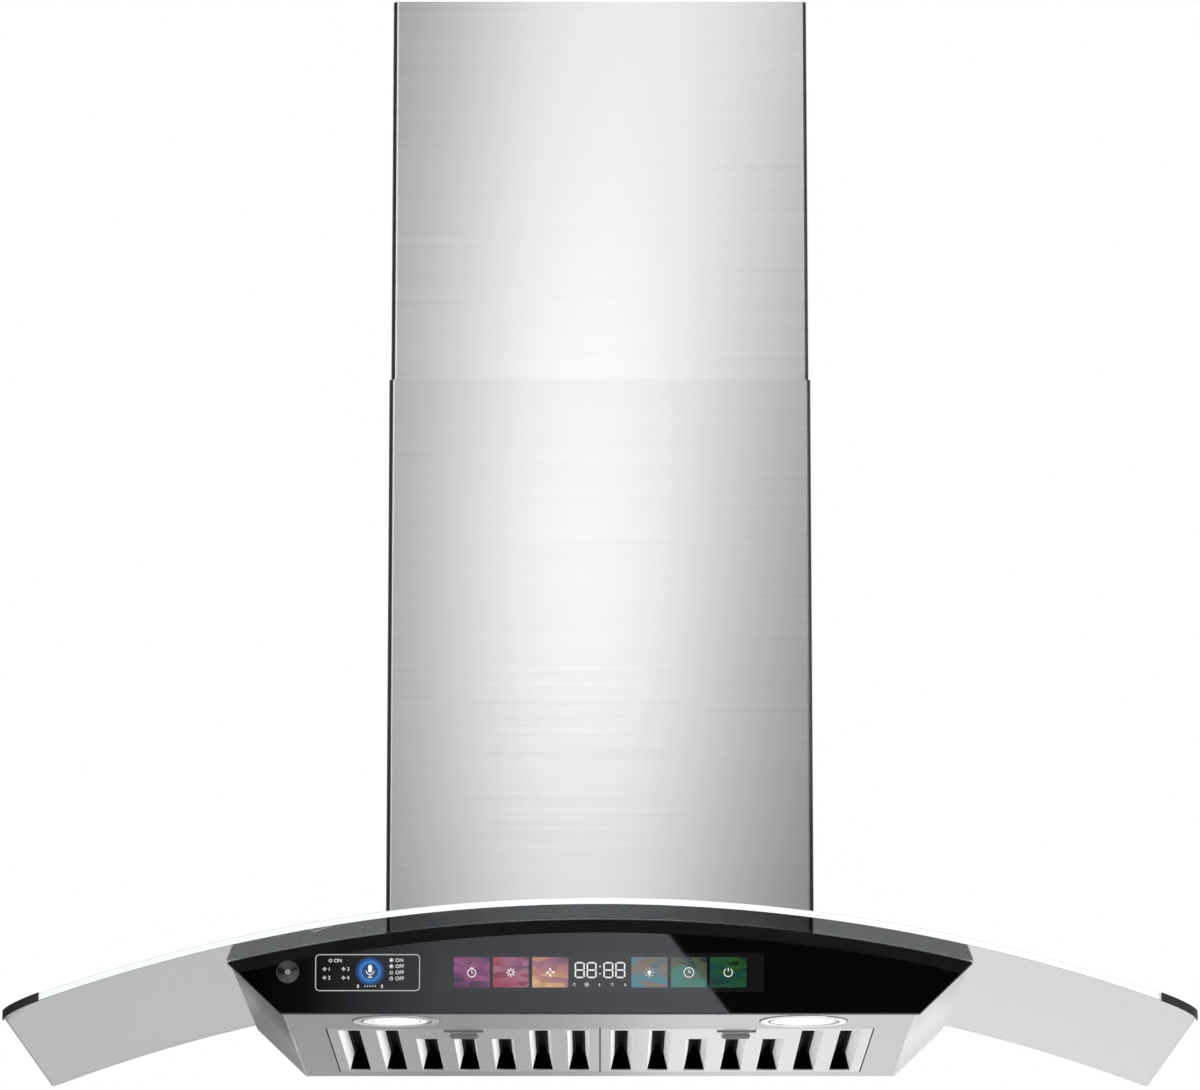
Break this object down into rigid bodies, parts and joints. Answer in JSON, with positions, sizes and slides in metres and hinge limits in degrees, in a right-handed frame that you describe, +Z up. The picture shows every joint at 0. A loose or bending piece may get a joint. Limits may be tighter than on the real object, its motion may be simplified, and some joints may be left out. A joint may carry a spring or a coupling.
{
  "type": "wall mount range hood",
  "caption": "Wall-mounted range hood with a bent clear glass canopy, black touch fascia, baffle filters, lamps, an inner blower and a telescopic steel chimney.",
  "frame": {"origin": "midway between the two hanging holes, on the wall", "axes": "+Z up, +Y into the wall, +X to the right of someone facing the hood"},
  "size_m": [0.903, 0.4865, 0.8481],
  "materials": {
    "brushed_steel": "fine horizontal brushing",
    "filter_steel": "satin pressed sheet",
    "polished_steel": "polished",
    "galvanised_steel": "galvanised sheet",
    "clear_glass": "clear toughened glass",
    "black_glass": "back-painted gloss black glass",
    "black_rubber": "matt",
    "black_plastic": "moulded",
    "white_plastic": "moulded",
    "lamp_lens": "frosted diffuser",
    "aluminium": "turned",
    "dark_metal": "dark metallic"
  },
  "bodies": {
    "hood": {"back_panel": "galvanised_steel", "blower_box": "galvanised_steel", "bottom_panel": "brushed_steel", "bracket_screws": "polished_steel", "cable_gland": "black_plastic", "canopy_shell": "brushed_steel", "capacitor": "white_plastic", "collar_screws": "polished_steel", "control_box": "black_plastic", "control_cover": "black_plastic", "corner_guard_left": "black_rubber", "corner_guard_right": "black_rubber", "damper_spindle": "polished_steel", "display_module": "black_plastic", "fascia_glass": "black_glass", "front_panel": "brushed_steel", "glass_canopy": "clear_glass", "glass_clamps": "galvanised_steel", "glass_gasket": "black_rubber", "inlet_ring_left": "galvanised_steel", "inlet_ring_right": "galvanised_steel", "lamp_can_left": "aluminium", "lamp_can_right": "aluminium", "lamp_lens_left": "lamp_lens", "lamp_lens_right": "lamp_lens", "lamp_trim_left": "polished_steel", "lamp_trim_right": "polished_steel", "lower_chimney": "brushed_steel", "motor": "dark_metal", "motor_bracket": "galvanised_steel", "outlet_collar": "galvanised_steel", "sensor_bezel": "dark_metal", "sensor_lens": "lamp_lens", "voice_module": "black_plastic", "volute": "black_plastic"},
    "upper_chimney": {"upper_chimney": "brushed_steel", "chimney_bracket": "galvanised_steel", "chimney_screws": "polished_steel"},
    "filter_left": {"filter_frame_left": "filter_steel", "filter_baffles_left": "filter_steel"},
    "filter_right": {"filter_frame_right": "filter_steel", "filter_baffles_right": "filter_steel"},
    "latch_left": {"filter_latch_left": "filter_steel"},
    "latch_right": {"filter_latch_right": "filter_steel"},
    "impeller": {"impeller": "galvanised_steel", "motor_shaft": "polished_steel"},
    "flap_rear": {"damper_flap_rear": "galvanised_steel"},
    "flap_front": {"damper_flap_front": "galvanised_steel"}
  },
  "joints": [
    {"name": "upper_chimney_slide", "type": "slide", "parent": "hood", "child": "upper_chimney", "axis": [0, 0, 1], "range_m": [-0.25, 0.04]},
    {"name": "filter_left_hinge", "type": "hinge", "parent": "hood", "child": "filter_left", "pos_m": [-0.1065, -0.031, -0.299], "axis": [1, 0, 0], "range_deg": [0, 75]},
    {"name": "latch_left_slide", "type": "slide", "parent": "filter_left", "child": "latch_left", "axis": [0, 1, 0], "range_m": [0, 0.006], "stiffness_N_per_m": 400, "springref_m": -0.003},
    {"name": "filter_right_hinge", "type": "hinge", "parent": "hood", "child": "filter_right", "pos_m": [0.1065, -0.031, -0.299], "axis": [1, 0, 0], "range_deg": [0, 75]},
    {"name": "latch_right_slide", "type": "slide", "parent": "filter_right", "child": "latch_right", "axis": [0, 1, 0], "range_m": [0, 0.006], "stiffness_N_per_m": 400, "springref_m": -0.003},
    {"name": "impeller_spin", "type": "hinge", "parent": "hood", "child": "impeller", "pos_m": [0, -0.128, -0.11], "axis": [1, 0, 0], "continuous": true},
    {"name": "flap_rear_hinge", "type": "hinge", "parent": "hood", "child": "flap_rear", "pos_m": [0, -0.187, 0.072], "axis": [1, 0, 0], "range_deg": [0, 70]},
    {"name": "flap_front_hinge", "type": "hinge", "parent": "hood", "child": "flap_front", "pos_m": [0, -0.187, 0.072], "axis": [1, 0, 0], "range_deg": [-70, 0]}
  ]
}
